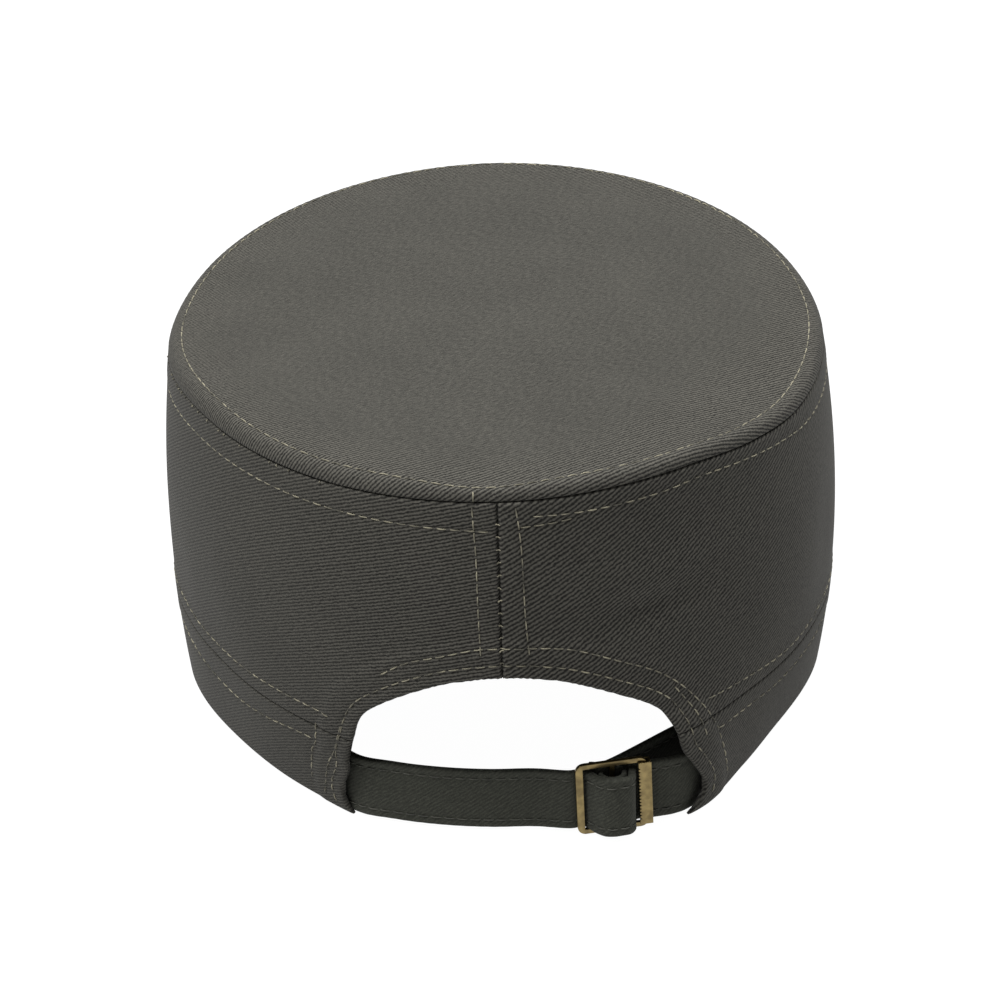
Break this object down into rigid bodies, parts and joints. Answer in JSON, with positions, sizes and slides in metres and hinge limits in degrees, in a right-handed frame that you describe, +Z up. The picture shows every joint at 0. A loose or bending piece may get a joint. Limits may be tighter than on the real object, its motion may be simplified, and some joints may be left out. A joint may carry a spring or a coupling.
{
  "type": "patrol cap",
  "caption": "Soft flat-topped fabric cap with a stiff front peak, a head band, an arched opening at the back and a buckled adjusting strap across it.",
  "frame": {"origin": "on the surface that the hem stands on, under the middle of the whole cap", "axes": "+Z up, +Y from the back opening towards the peak, +X to the wearer's right, the side that the buckle is on"},
  "size_m": [0.18, 0.2648, 0.1066],
  "materials": {
    "twill": "matt cotton twill",
    "strap_twill": "matt cotton twill, darker",
    "brass": "dull antique brass"
  },
  "bodies": {
    "root": {"crown_wall": "twill", "top_panel": "twill", "head_band": "twill", "peak": "twill", "back_strap": "strap_twill", "buckle_tab": "strap_twill", "buckle_frame": "brass", "buckle_grip": "brass"}
  },
  "joints": []
}
